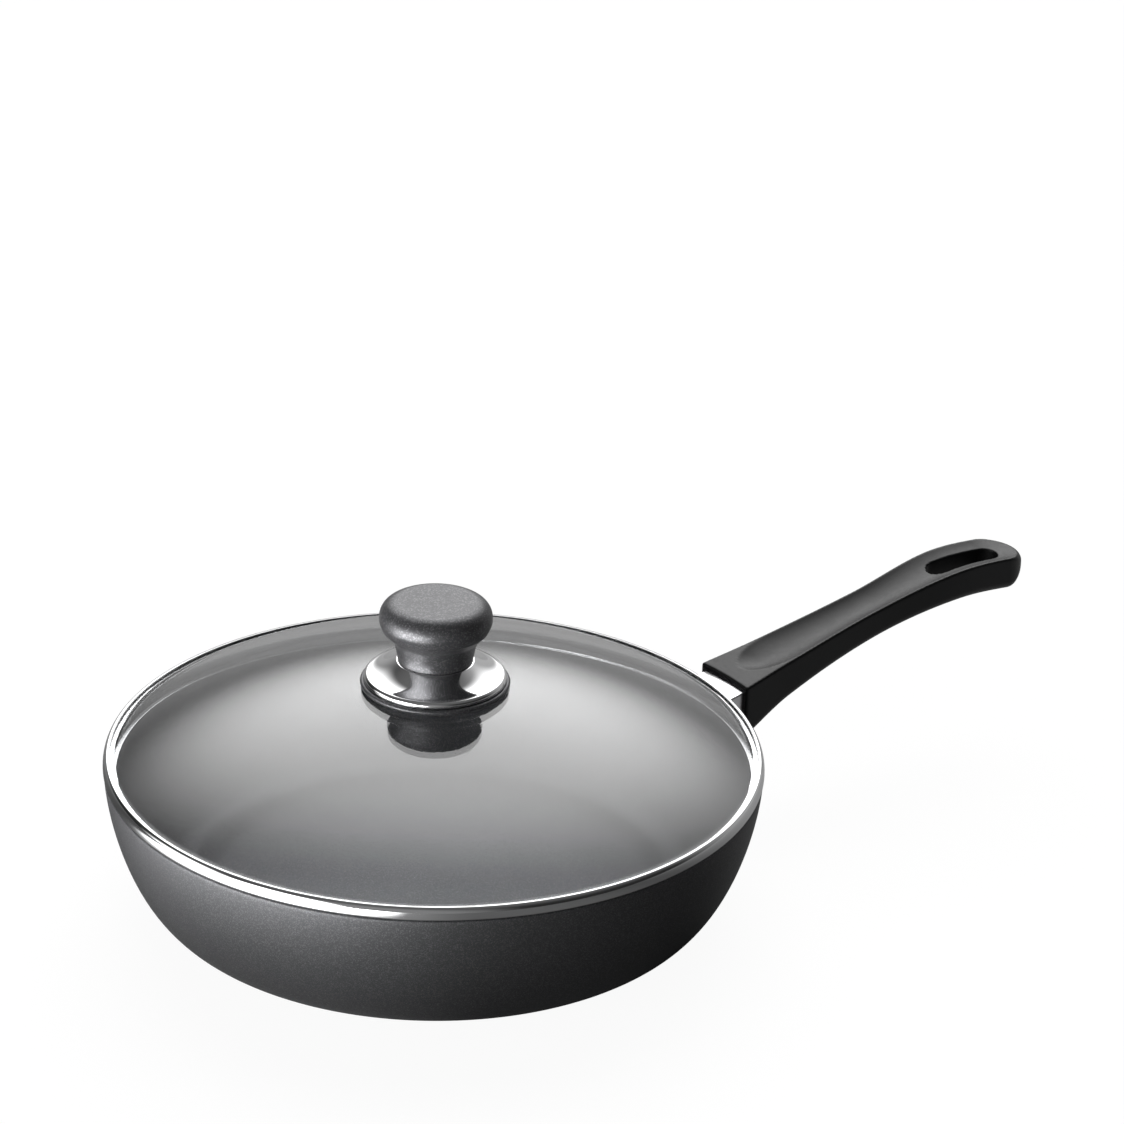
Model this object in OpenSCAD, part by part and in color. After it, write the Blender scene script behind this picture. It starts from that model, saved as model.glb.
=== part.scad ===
// Saute pan with a glass lid. The origin is the middle of the pan's flat base,
// +Z is up and +X points along the handle. All sizes are in millimetres.

/* [Pan] */
// Radius of the flat ring that stands on the hob
base_r = 101.5; // [96:0.5:106]
// Outer radius of the pan at its rim
rim_r = 133.2; // [128:0.2:138]
// Height of the rim above the base
rim_h = 59.3; // [54:0.1:66]
// Thickness of the wall at the rim
wall_t = 3.8; // [3:0.1:5]
// Thickness of the cast floor
floor_t = 6; // [4:0.5:8]
// Radius of the flat cooking floor inside
floor_r = 96; // [88:0.5:98]
// How far the outside stays flat before it turns up
base_pull = 18.4; // [12:0.2:24]
// How far down the outside stays nearly upright below the rim
rim_pull = 22; // [15:1:30]
// How far the wall leans in over that height
rim_lean = 1.2; // [0:0.1:3]
// Number of turned grooves in the underside
groove_count = 9; // [4:1:14]
// Width of each turned groove
groove_w = 1.6; // [0.8:0.1:2.4]
// Depth of each turned groove
groove_d = 0.4; // [0.2:0.1:1]

/* [Lid] */
// How far the rolled steel rim of the lid stands out past the pan
band_over = 0.3; // [0:0.05:0.8]
// Width of the lip that holds the glass from above
lip_w = 2.6; // [1.6:0.1:4]
// Sheet thickness of the rolled steel rim
sheet_t = 0.6; // [0.4:0.1:0.8]
// Thickness of the tempered glass
glass_t = 4; // [3:0.5:5]
// Height of the dome above the flat edge of the glass
glass_rise = 32.6; // [24:0.2:38]
// Radius of the hole in the middle of the glass
glass_hole_r = 4; // [3.6:0.1:6]
// Depth of the skirt that centres the lid in the pan
skirt_h = 5; // [3:0.5:8]
// Gap between the skirt and the wall of the pan
skirt_gap = 0.7; // [0.4:0.1:1.2]
// Gap between the lid's steel rim and the pan's rim
seat_gap = 0.3; // [0.2:0.05:0.4]

/* [Knob] */
// Radius of the black ring under the knob
knob_base_r = 30.2; // [26:0.2:34]
// Height of that ring above the glass at its edge
knob_base_h = 2.6; // [2:0.1:4]
// Step from the edge of that ring in to the polished steel plate
plate_step = 1.45; // [1.15:0.05:5]
// Height of the plate's rolled edge
plate_edge_h = 1.6; // [1:0.1:2.5]
// Height from the plate's edge to its middle
plate_rise = 7; // [5:0.2:9]
// Sheet thickness of the plate
plate_t = 0.8; // [0.5:0.1:1.2]
// Radius of the knob's neck where it meets the plate
neck_r = 15.2; // [12:0.2:17]
// Radius of the knob's head at its widest
head_r = 22.8; // [19:0.2:26]
// Radius of the flat top of the knob
top_r = 17; // [12:0.5:18]
// Height of the knob above the plate
knob_h = 25.1; // [20:0.1:32]

/* [Fastening of the knob] */
// Radius of the screw's shank
screw_r = 2.45; // [1.95:0.05:2.95]
// Radius of the screw's head
screw_head_r = 4.6; // [4:0.1:6]
// Height of the screw's head
screw_head_h = 3; // [2:0.1:4]
// Outer radius of the steel washer
washer_r = 8.5; // [7:0.5:10]
// Thickness of the washer
washer_t = 1; // [0.6:0.1:1.6]
// Outer radius of the lower seal
seal_r = 10; // [9:0.5:13]
// Thickness of the lower seal at its middle
seal_t = 1.5; // [1:0.1:2.5]
// Outer radius of the brass insert in the knob
insert_r = 4.5; // [4:0.1:6]
// Length of the brass insert
insert_l = 14; // [10:0.5:18]

/* [Handle] */
// Gap between the rim of the pan and the front of the grip
grip_gap = 17.3; // [12:0.1:26]
// Drop from the rim of the pan to the grip's top at its front
grip_drop = 1.8; // [-2:0.1:7]
// Length of the grip
grip_len = 159.4; // [140:0.2:190]
// Width of the grip at its front
front_w = 30.8; // [28:0.2:34]
// Width at the heel, behind the front
heel_w = 25.8; // [22:0.2:28]
// Width at the waist
waist_w = 20.9; // [19:0.1:25]
// Width at the hanging end
end_w = 25; // [21:0.2:30]
// Thickness of the grip at its front
front_t = 24.5; // [22.5:0.1:28]
// Thickness at the heel
heel_t = 17.4; // [16:0.1:20]
// Thickness at the waist
waist_t = 13.4; // [10:0.1:16]
// Thickness at the hanging end
end_t = 14.4; // [11:0.2:17]
// Rise of the top from the front to the heel
heel_rise = 4.9; // [3:0.1:7]
// Rise of the top from the front to the waist
waist_rise = 14.4; // [9:0.2:17]
// Rise of the top from the front to its crest
crest_rise = 21.7; // [16:0.1:26]
// Drop of the top from the crest to the very end
nose_drop = 2.4; // [0:0.1:8]
// Radius that rounds the top edge of the tip
tip_top_r = 4.5; // [2:0.5:5]
// Radius that rounds the lower edge of the tip
tip_low_r = 10; // [5:0.5:10]
// Depth of the thumb groove
groove_deep = 2.4; // [1:0.1:3.2]
// Width of the hanging slot
slot_w = 11; // [8:0.5:14]
// Length of the hanging slot
slot_l = 37.4; // [24:0.2:44]
// Wall of the grip beyond the slot
slot_wall = 11.4; // [9:0.2:18]

/* [Handle fixing] */
// Width of the polished bracket
bracket_w = 26; // [22:0.5:27]
// Height of the polished bracket
bracket_h = 16.6; // [13:0.2:17.4]
// Step from the top of the grip down to the bracket
bracket_step = 2.6; // [2:0.1:3.4]
// How far the bracket reaches into the grip
bracket_in = 6; // [4:0.5:8]
// Width of the cast lug
lug_w = 14; // [10:0.5:16]
// Height of the cast lug
lug_h = 7; // [5:0.2:7.4]
// How far the lug reaches into the grip
lug_in = 24; // [18:0.5:26]
// Thickness of the lock spring
spring_t = 0.8; // [0.5:0.1:1]
// Width of the lock spring
spring_w = 9; // [6:0.5:10]

/* [Hidden] */
$fn = 96;

// Clearance between pieces of one body that are put together by hand
fit = 0.05;
// Overshoot of a cutting tool past the face that it cuts
past = 1;
// Steps along a curve of a turned outline
steps = 14;

// Points of a cubic curve
function bezier(a, b, c, d, n) = [for (i = [0:n]) let (t = i / n, s = 1 - t)
    s*s*s*a + 3*s*s*t*b + 3*s*t*t*c + t*t*t*d];
// Points of an arc, with angles in degrees
function arc(c, r, a0, a1, n) = [for (i = [0:n]) let (a = a0 + (a1 - a0) * i / n)
    c + r * [cos(a), sin(a)]];

// Sizes that follow the rim of the pan and the ring under the knob
band_r = rim_r + band_over;
grip_front = rim_r + grip_gap;
grip_z = rim_h - grip_drop;
plate_r = knob_base_r - plate_step;

// Outline of the pan's outside, from the base up to the rim
function outside(gap) = bezier([base_r + gap, 0], [base_r + base_pull + gap, 0],
    [rim_r - rim_lean + gap, rim_h - rim_pull], [rim_r + gap, rim_h], steps);
rim_in_r = rim_r - wall_t;
cavity = bezier([floor_r, floor_t], [floor_r + base_pull + 2, floor_t],
    [rim_in_r - rim_lean, rim_h - rim_pull], [rim_in_r, rim_h], steps);

// The whole outer form of the pan, grown by a gap for what fits against it
module pan_form(gap) {
    rotate_extrude() polygon(concat([[0, 0]], outside(gap), [[0, rim_h]]));
}

// Distances of the heel and the waist from the front of the grip
heel_at = 26;
waist_at = 76;
// Distance of the crest from the tip, and how much thicker the tip is than the crest
crest_back = 39.5;
tip_swell = 0.8;
// The handle's fixing lies along the slope of the grip's top
tilt = atan(heel_rise / heel_at);
module along_handle() {
    translate([grip_front, 0, grip_z]) rotate([0, -tilt, 0]) children();
}
// A bar along the handle: from x0 to x1, its width, its top and its height
module bar(x0, x1, w, top, h) {
    translate([x0, -w/2, top - h]) cube([x1 - x0, w, h]);
}
// Share of the room in the bracket that is left above the lug
lug_share = 0.32;
lug_top = -bracket_step - (bracket_h - lug_h) * lug_share;
lug_low = lug_top - lug_h;
// Room for the tooth of the lock spring in the underside of the lug
notch_at = 14;
notch_l = 4;
notch_d = 1.6;
// Side play of the tooth in that room, and how far the spring runs past the lug
tooth_side = 1;
tooth_play = 0.3;
spring_over = 2;
// The bracket starts inside the wall of the pan, and the root of the lug deeper still
wall_reach = grip_gap + wall_t;
lug_root = 10;

// Cast aluminium pan with a thick floor and the lug that carries the handle
module pan_body() {
    groove_in = 22;
    groove_out = base_r - 4;
    groove_step = (groove_out - groove_in) / groove_count;
    color([0.16, 0.16, 0.17]) difference() {
        union() {
            pan_form(0);
            along_handle() bar(-wall_reach - lug_root, lug_in, lug_w, lug_top, lug_h);
        }
        rotate_extrude() polygon(concat([[0, floor_t]], cavity,
            [[rim_in_r, rim_h + past], [0, rim_h + past]]));
        for (i = [0:groove_count - 1])
            rotate_extrude() translate([groove_in + i * groove_step, -past])
                square([groove_w, groove_d + past]);
        along_handle() bar(notch_at, notch_at + notch_l, lug_w + 2*past,
            lug_low + notch_d, notch_d + past);
    }
}

// Polished sleeve between the pan and the grip, shaped to the wall
module handle_bracket() {
    color([0.85, 0.85, 0.86]) difference() {
        along_handle() difference() {
            bar(-wall_reach, bracket_in, bracket_w, -bracket_step, bracket_h);
            bar(-wall_reach - past, bracket_in + past, lug_w + 2*fit,
                lug_top + fit, lug_h + 2*fit);
        }
        pan_form(fit);
    }
}

// Leaf spring in the grip whose tooth locks in the notch of the lug
module lock_spring() {
    leaf_top = lug_low - fit;
    color([0.6, 0.6, 0.62]) along_handle() {
        bar(bracket_in + tooth_side, lug_in + spring_over, spring_w, leaf_top, spring_t);
        bar(notch_at + tooth_side, notch_at + notch_l - tooth_side, spring_w,
            lug_low + notch_d - tooth_play, notch_d - tooth_play + fit);
    }
}

// Stations along the grip, from its front to the tip of its nose
nose_r = end_w / 2;
crest_at = grip_len - crest_back;
stations = [0, heel_at, waist_at, crest_at, grip_len];
tops = [grip_z, grip_z + heel_rise, grip_z + waist_rise,
        grip_z + crest_rise, grip_z + crest_rise - nose_drop];
thick = [front_t, heel_t, waist_t, end_t, end_t + tip_swell];
widths = [front_w, heel_w, waist_w, end_w, end_w];

// Smooth curve through the values at the stations
function slope_at(v, i) = i == 0 ? (v[1] - v[0]) / (stations[1] - stations[0])
    : i == len(v) - 1 ? (v[i] - v[i-1]) / (stations[i] - stations[i-1])
    : (v[i+1] - v[i-1]) / (stations[i+1] - stations[i-1]);
function span_of(u) = u < stations[1] ? 0 : u < stations[2] ? 1 : u < stations[3] ? 2 : 3;
function smooth(v, u) = let (i = span_of(u), l = stations[i+1] - stations[i],
    t = (u - stations[i]) / l, a = slope_at(v, i) * l, b = slope_at(v, i+1) * l)
    v[i] * (1 + t*t*(2*t - 3)) + v[i+1] * t*t*(3 - 2*t)
    + a * t*(1 - t)*(1 - t) - b * t*t*(1 - t);

// Half width of the grip, which ends in a round nose
nose_at = grip_len - nose_r;
function half_w(u) = u <= nose_at ? smooth(widths, u) / 2
    : sqrt(nose_r*nose_r - (u - nose_at)*(u - nose_at));
// Radii that round the top edge and the lower edge, which grow round the nose.
// At the tip the two roundings share the thickness of the grip
top_corner = 1;
low_corner = 4;
tip_low = min(tip_low_r, end_t + tip_swell - tip_top_r);
function nose_share(u) = let (t = max(u - nose_at, 0) / nose_r) t*t*(3 - 2*t);
function top_r_at(u) = top_corner + (tip_top_r - top_corner) * nose_share(u);
function low_r_at(u) = low_corner + (tip_low - low_corner) * nose_share(u);
// Distance of a point from the edge of the grip as seen from above
function edge_in(u, y) = max(0, u <= nose_at ? half_w(u) - abs(y)
    : nose_r - norm([u - nose_at, y]));
// Fall of a rounded edge at that distance
function fall(d, r) = d >= r ? 0 : r - sqrt(d * (2*r - d));
function top_z(u, y) = smooth(tops, u) - fall(edge_in(u, y), top_r_at(u));
function low_z(u, y) = smooth(tops, u) - smooth(thick, u) + fall(edge_in(u, y), low_r_at(u));
// Width of a rounded edge in the cross-section at a distance from the front.
// The most that it may take is a share of the half width
edge_most = 0.9;
function edge_w(u, r) = u <= nose_at ? r : min(half_w(u) * edge_most,
    half_w(u) - sqrt(max(0, pow(nose_r - r, 2) - pow(u - nose_at, 2))));

// The thumb groove starts round and then runs nearly as wide as the grip
groove_from = 8;
groove_full = 30;
groove_to = grip_len - 2;
groove_edge = 0.9;
groove_least = 0.5;
// Share of the start that is round, and the lengths over which the groove gets deep
groove_round = 0.86;
groove_in_l = 9;
groove_out_l = 14;
function groove_half(u) = let (w = max(half_w(u) - groove_edge, groove_least),
    t = (u - groove_from) / (groove_full - groove_from))
    t <= 0 ? groove_least : t >= 1 ? w
    : w * (groove_round * sqrt(1 - (1 - t)*(1 - t)) + (1 - groove_round) * t);
function groove_depth(u) = u <= groove_from || u >= groove_to ? 0
    : groove_deep * min(1, (u - groove_from) / groove_in_l, (groove_to - u) / groove_out_l);

// One cross-section of the grip, seen from the front, as 3D points
dish_steps = 14;
function section(u) = let (w = half_w(u), g = groove_half(u), d = groove_depth(u),
    te = edge_w(u, top_r_at(u)), le = edge_w(u, low_r_at(u)),
    flat = [for (i = [0:dish_steps]) let (y = (w - te) * (1 - 2 * i / dish_steps))
        [y, top_z(u, y) - d * max(0, 1 - y*y / (g*g))]],
    top_side = [for (a = [65, 32, 0]) let (y = w - te + te * cos(a)) [y, top_z(u, y)]],
    low_side = [for (a = [0:18:90]) let (y = w - le + le * cos(a)) [y, low_z(u, y)]],
    outline = concat(flat, [for (p = top_side) [-p[0], p[1]]],
        [for (p = low_side) [-p[0], p[1]]],
        [for (i = [5:-1:0]) low_side[i]], [for (i = [2:-1:0]) top_side[i]]))
    [for (p = outline) [grip_front + u - front_bow(p[0]) * max(0, 1 - u / heel_at),
        p[0], p[1]]];
// The front face follows a circle round the pan, so its corners come forward
function front_bow(y) = grip_front - sqrt(grip_front*grip_front - y*y);
body_rings = 34;
nose_rings = 10;
ring_u = concat(
    [for (i = [0:body_rings]) nose_at * i / body_rings],
    [for (i = [1:nose_rings]) nose_at + nose_r * sin(86 * i / nose_rings)]);

module grip_form() {
    rings = [for (u = ring_u) section(u)];
    m = len(rings[0]);
    n = len(rings);
    tip_z = (top_z(grip_len, 0) + low_z(grip_len, 0)) / 2;
    points = concat([for (r = rings) each r], [[grip_front, 0, grip_z - front_t / 2],
        [grip_front + grip_len, 0, tip_z]]);
    sides = [for (j = [0:n - 2], i = [0:m - 1])
        let (a = j*m + i, b = j*m + (i + 1) % m, c = a + m, d = b + m)
        each [[a, d, b], [a, c, d]]];
    front = [for (i = [0:m - 1]) [i, (i + 1) % m, n*m]];
    tip = [for (i = [0:m - 1]) [(n - 1)*m + (i + 1) % m, (n - 1)*m + i, n*m + 1]];
    polyhedron(points, concat(sides, front, tip));
}

slot_end = grip_len - slot_wall;
// Moulded grip with a thumb groove, a hanging slot and a socket for the fixing
module handle_grip() {
    slot_x = grip_front + slot_end - slot_l;
    bend = slot_w / 2;
    color([0.08, 0.08, 0.085]) difference() {
        grip_form();
        translate([slot_x, 0, grip_z - front_t]) linear_extrude(front_t + crest_rise + past)
            polygon(concat(arc([slot_l - bend, 0], bend, -90, 90, 8),
                arc([bend, 0], bend, 90, 270, 8)));
        along_handle() {
            bar(-front_t * sin(tilt) - past, bracket_in + fit, bracket_w + 2*fit,
                -bracket_step + fit, bracket_h + 2*fit);
            bar(0, lug_in + 2*fit, lug_w + 2*fit, lug_top + fit, lug_h + 2*fit);
            bar(0, lug_in + spring_over + fit, spring_w + 2*fit, lug_low, spring_t + 3*fit);
        }
    }
}

// Heights of the lid's pieces, from the rim of the pan upwards
band_low = rim_h + seat_gap;
// Play of the glass in the channel of the rim, up and down and at its edge
glass_play = 0.1;
edge_play = 0.3;
// Gap between the lip and the foot of the dome
dome_gap = 0.5;
band_top = band_low + 2*sheet_t + glass_t + 2*glass_play;
edge_low = band_low + sheet_t + glass_play;
edge_top = edge_low + glass_t;
glass_r = band_r - sheet_t - edge_play;
lip_r = band_r - lip_w;
dome_r = lip_r - dome_gap;
ball_r = (dome_r*dome_r + glass_rise*glass_rise) / (2 * glass_rise);
ball_z = edge_top + glass_rise - ball_r;
// Height of the glass above and below at a distance from the axis
function glass_top(r) = ball_z + sqrt(ball_r*ball_r - r*r);
function glass_low(r) = ball_z + sqrt(pow(ball_r - glass_t, 2) - r*r);
dome_low_r = sqrt(pow(ball_r - glass_t, 2) - pow(edge_low - ball_z, 2));
dome_steps = 30;

// Domed tempered glass with a flat ground edge and a hole for the knob
module lid_glass() {
    color([0.75, 0.8, 0.8, 0.4]) rotate_extrude() polygon(concat(
        [for (i = [0:dome_steps]) let (r = glass_hole_r + (dome_r - glass_hole_r) * i / dome_steps)
            [r, glass_top(r)]],
        [[glass_r, edge_top], [glass_r, edge_low]],
        [for (i = [dome_steps:-1:0])
            let (r = glass_hole_r + (dome_low_r - glass_hole_r) * i / dome_steps)
            [r, glass_low(r)]]));
}

// Rolled steel rim: a channel round the edge of the glass with a skirt below
module lid_rim() {
    skirt_r = rim_in_r - skirt_gap;
    top_bend = 1.3;
    low_bend = 0.9;
    color([0.8, 0.8, 0.81]) rotate_extrude() polygon(concat(
        [[lip_r, band_top - sheet_t]],
        [[lip_r, band_top]],
        arc([band_r - top_bend, band_top - top_bend], top_bend, 90, 0, 6),
        arc([band_r - low_bend, band_low + low_bend], low_bend, 0, -90, 5),
        [[skirt_r, band_low], [skirt_r, band_low - skirt_h],
         [skirt_r - sheet_t, band_low - skirt_h], [skirt_r - sheet_t, band_low + sheet_t],
         [band_r - sheet_t, band_low + sheet_t], [band_r - sheet_t, band_top - sheet_t]]));
}

// The ring under the knob stands just off the glass at its outer edge
base_gap = 0.15;
base_low = glass_top(knob_base_r) + base_gap;
base_top = base_low + knob_base_h;
foot_z = base_top + plate_rise + plate_edge_h;
// Flat underside of the base, over the crown of the glass
upper_seal_t = 0.7;
base_under = glass_top(0) + upper_seal_t;
base_edge = 3.2;
screw_play = 0.3;
screw_hole_r = screw_r + screw_play;
// Clearance between a seal and the glass
seal_gap = 0.07;

// Soft seal between the knob's base and the glass
module upper_seal() {
    seal_out = knob_base_r - base_edge - 0.3;
    seal_in = glass_hole_r + 1;
    color([0.2, 0.2, 0.2]) rotate_extrude() polygon(concat(
        [for (i = [0:8]) let (r = seal_in + (seal_out - seal_in) * i / 8)
            [r, glass_top(r) + seal_gap]],
        [[seal_out, base_under - fit], [seal_in, base_under - fit]]));
}

// Black moulded base with a boss that carries the plate and the knob
module knob_base() {
    edge_bend = 1.1;
    boss_r = neck_r - 1.5;
    color([0.1, 0.1, 0.1]) rotate_extrude() polygon(concat(
        [[screw_hole_r, base_under], [knob_base_r - base_edge, base_under],
         [knob_base_r - base_edge, glass_top(knob_base_r - base_edge) + base_gap]],
        arc([knob_base_r - edge_bend, base_low + edge_bend], edge_bend, -90, 0, 5),
        arc([knob_base_r - edge_bend, base_top - edge_bend], edge_bend, 0, 90, 5),
        [[boss_r, base_top], [boss_r, foot_z - plate_t - fit],
         [screw_hole_r, foot_z - plate_t - fit]]));
}

// Polished steel plate that flares up to the neck of the knob
plate_z = base_top + fit;
function flare(r0, r1, lift) = bezier([r0, foot_z + lift], [r0 + 1, foot_z - 4 + lift],
    [r0 + 5, plate_z + plate_edge_h + 1.2 + lift], [r1, plate_z + plate_edge_h + lift], 12);
module knob_plate() {
    edge_bend = 0.7;
    color([0.85, 0.85, 0.86]) rotate_extrude() polygon(concat(
        [[screw_hole_r, foot_z]], flare(neck_r + 0.4, plate_r - 1.2, 0),
        arc([plate_r - edge_bend, plate_z + plate_edge_h - edge_bend], edge_bend, 80, 0, 5),
        [[plate_r, plate_z], [plate_r - plate_t, plate_z]],
        [for (i = [12:-1:0]) flare(neck_r + 0.4 - plate_t, plate_r - 1.6, -plate_t)[i]],
        [[screw_hole_r, foot_z - plate_t]]));
}

// Moulded knob with a waisted neck and a flat top
insert_z = foot_z + 0.2;
module knob() {
    z = foot_z + fit;
    // Shares of the knob's height where it is widest and where the neck ends
    head_share = 0.717;
    neck_share = 0.39;
    // Share of the way from the neck out to the head at the end of the neck
    under_share = 0.45;
    head_z = z + knob_h * head_share;
    under_z = z + knob_h * neck_share;
    under_r = neck_r + (head_r - neck_r) * under_share;
    top_z = z + knob_h;
    top_dish = 0.3;
    top_edge = 1.6;
    color([0.12, 0.12, 0.125]) rotate_extrude() polygon(concat(
        [[insert_r + fit, z]],
        bezier([neck_r, z], [neck_r + 0.8, z + 4], [under_r - 1.2, under_z - 2.4],
            [under_r, under_z], 8),
        bezier([under_r, under_z], [under_r + 2, under_z + 3.2], [head_r, head_z - 3.8],
            [head_r, head_z], 9),
        bezier([head_r, head_z], [head_r, head_z + 3.9], [top_r + 3.6, top_z],
            [top_r, top_z], 10),
        [[top_r - top_edge, top_z - top_dish], [0, top_z - top_dish],
         [0, insert_z + insert_l + fit], [insert_r + fit, insert_z + insert_l + fit]]));
}

// Threaded brass insert moulded into the knob
module knob_insert() {
    waist = 0.5;
    z = insert_z;
    color([0.75, 0.62, 0.3]) rotate_extrude() polygon([
        [screw_r + fit, z], [insert_r, z], [insert_r, z + insert_l * 0.35],
        [insert_r - waist, z + insert_l * 0.4], [insert_r - waist, z + insert_l * 0.6],
        [insert_r, z + insert_l * 0.65], [insert_r, z + insert_l],
        [screw_r + fit, z + insert_l]]);
}

// Soft grommet under the glass, with a collar that lines the hole
seal_low = glass_low(0) - seal_t;
module lower_seal() {
    collar_r = glass_hole_r - 0.15;
    collar_top = glass_top(0) - 0.3;
    color([0.2, 0.2, 0.2]) rotate_extrude() polygon(concat(
        [[screw_hole_r, seal_low], [seal_r - 1, seal_low], [seal_r, seal_low + 0.5]],
        [for (i = [6:-1:0]) let (r = collar_r + (seal_r - collar_r) * i / 6)
            [r, glass_low(r) - seal_gap]],
        [[collar_r, collar_top], [screw_hole_r, collar_top]]));
}

// Flat steel washer
module washer() {
    color([0.8, 0.8, 0.8]) translate([0, 0, seal_low - fit - washer_t]) difference() {
        cylinder(r = washer_r, h = washer_t);
        translate([0, 0, -past]) cylinder(r = screw_hole_r, h = washer_t + 2*past);
    }
}

// Screw with a domed head that holds the knob from inside the lid
module knob_screw() {
    head_top = seal_low - 2*fit - washer_t;
    tip_z = insert_z + insert_l - 2;
    drive_r = 2.6;
    drive_w = 0.9;
    color([0.8, 0.8, 0.8]) difference() {
        rotate_extrude() polygon(concat([[0, head_top - screw_head_h]],
            [[screw_head_r * 0.5, head_top - screw_head_h]],
            bezier([screw_head_r * 0.5, head_top - screw_head_h],
                [screw_head_r * 0.85, head_top - screw_head_h],
                [screw_head_r, head_top - screw_head_h * 0.6],
                [screw_head_r, head_top - screw_head_h * 0.3], 6),
            [[screw_head_r, head_top], [screw_r, head_top], [screw_r, tip_z - 1],
             [screw_r - 0.8, tip_z], [0, tip_z]]));
        for (a = [0, 90]) rotate([0, 0, a])
            translate([-drive_r, -drive_w/2, head_top - screw_head_h - past])
                cube([2*drive_r, drive_w, past + screw_head_h * 0.5]);
    }
}

pan_body();
handle_bracket();
lock_spring();
handle_grip();
lid_glass();
lid_rim();
upper_seal();
knob_base();
knob_plate();
knob();
knob_insert();
lower_seal();
washer();
knob_screw();
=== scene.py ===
import math

import bmesh
import bpy
from mathutils import Matrix, Vector


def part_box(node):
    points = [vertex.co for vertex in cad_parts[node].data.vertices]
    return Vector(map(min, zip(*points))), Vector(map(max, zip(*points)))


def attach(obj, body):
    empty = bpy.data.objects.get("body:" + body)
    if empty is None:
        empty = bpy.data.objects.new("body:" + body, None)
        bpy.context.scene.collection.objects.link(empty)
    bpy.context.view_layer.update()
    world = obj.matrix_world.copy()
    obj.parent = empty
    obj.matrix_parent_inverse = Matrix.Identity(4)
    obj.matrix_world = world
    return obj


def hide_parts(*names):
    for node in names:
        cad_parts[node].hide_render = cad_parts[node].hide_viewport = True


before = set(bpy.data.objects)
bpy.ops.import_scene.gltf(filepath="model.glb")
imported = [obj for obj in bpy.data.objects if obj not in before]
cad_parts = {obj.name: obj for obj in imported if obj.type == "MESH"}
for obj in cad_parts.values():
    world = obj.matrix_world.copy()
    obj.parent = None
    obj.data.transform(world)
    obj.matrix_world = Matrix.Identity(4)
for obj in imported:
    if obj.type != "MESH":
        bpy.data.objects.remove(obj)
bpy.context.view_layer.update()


# The pan is a casting of aluminium with a thick floor and a curved wall. It is turned true,
# then sprayed inside and out with a dark coating that holds fine metal flake. Only the
# turned underside stays bare metal. A lug for the handle is cast on below the rim.
MM = 0.001
pan_low, pan_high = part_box("pan_body")
rim_r = -pan_low.x
rim_h = pan_high.z
wall_t = 3.8 * MM
base_r = 101.5 * MM
floor_r = 96 * MM
floor_z = 6 * MM
base_pull = 18.4 * MM
rim_pull = 22 * MM
rim_lean = 1.2 * MM
rim_edge = 0.7 * MM
rim_in_r = rim_r - wall_t
floor_pull = base_pull + 2 * MM
groove_h = 0.4 * MM
AROUND = 224
WALL_STEPS = 40
FLOOR_RINGS = 12


def curve(a, b, c, d, steps):
    """Points of a cubic curve from a to d."""
    points = []
    for i in range(steps + 1):
        t = i / steps
        s = 1 - t
        points.append(tuple(s**3 * p + 3 * s * s * t * q + 3 * s * t * t * u + t**3 * v
                            for p, q, u, v in zip(a, b, c, d)))
    return points


def arc(x, z, r, start, end, steps):
    """Points of an arc round (x, z), with angles in degrees."""
    turns = [math.radians(start + (end - start) * i / steps) for i in range(steps + 1)]
    return [(x + r * math.cos(t), z + r * math.sin(t)) for t in turns]


def piece_from(name, bm, crease=32):
    """A new object from a bmesh, smooth but for the edges that are sharper than crease."""
    bmesh.ops.recalc_face_normals(bm, faces=bm.faces)
    mesh = bpy.data.meshes.new(name)
    bm.to_mesh(mesh)
    bm.free()
    mesh.shade_smooth()
    mesh.set_sharp_from_angle(angle=math.radians(crease))
    piece = bpy.data.objects.new(name, mesh)
    bpy.context.scene.collection.objects.link(piece)
    return piece


def turned(name, outline, around=AROUND, crease=32):
    """A piece turned on the Z axis. The outline is one loop of (radius, height)."""
    bm = bmesh.new()
    rings = []
    for r, z in outline:
        if r < 1e-7:
            rings.append([bm.verts.new((0, 0, z))])
            continue
        angles = [2 * math.pi * i / around for i in range(around)]
        rings.append([bm.verts.new((r * math.cos(a), r * math.sin(a), z)) for a in angles])
    for one, two in zip(rings, rings[1:] + rings[:1]):
        if len(one) == len(two) == 1:
            continue
        for i in range(around):
            j = (i + 1) % around
            corners = [one[i % len(one)], one[j % len(one)], two[j % len(two)], two[i % len(two)]]
            bm.faces.new(list(dict.fromkeys(corners)))
    return piece_from(name, bm, crease)


def settle(piece, crease=32):
    """Applies every modifier of the piece, so that its mesh is the final one."""
    shown = piece.evaluated_get(bpy.context.evaluated_depsgraph_get())
    mesh = bpy.data.meshes.new_from_object(shown)
    piece.modifiers.clear()
    piece.data = mesh
    mesh.shade_smooth()
    mesh.set_sharp_from_angle(angle=math.radians(crease))


def joined(piece, tool, operation):
    """Unites the piece with a tool piece, or cuts the tool from it, and deletes the tool."""
    change = piece.modifiers.new(operation.lower(), "BOOLEAN")
    change.operation = operation
    change.solver = "EXACT"
    change.object = tool
    settle(piece)
    bpy.data.objects.remove(tool)


def node(tree, kind, settings=None, **inputs):
    """Adds a node. An input is a plain value, or the socket that feeds it."""
    made = tree.nodes.new(kind)
    for key, value in (settings or {}).items():
        setattr(made, key, value)
    for key, value in inputs.items():
        socket = made.inputs[key.replace("_", " ")]
        if isinstance(value, bpy.types.NodeSocket):
            tree.links.new(value, socket)
        else:
            socket.default_value = value
    return made


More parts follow.
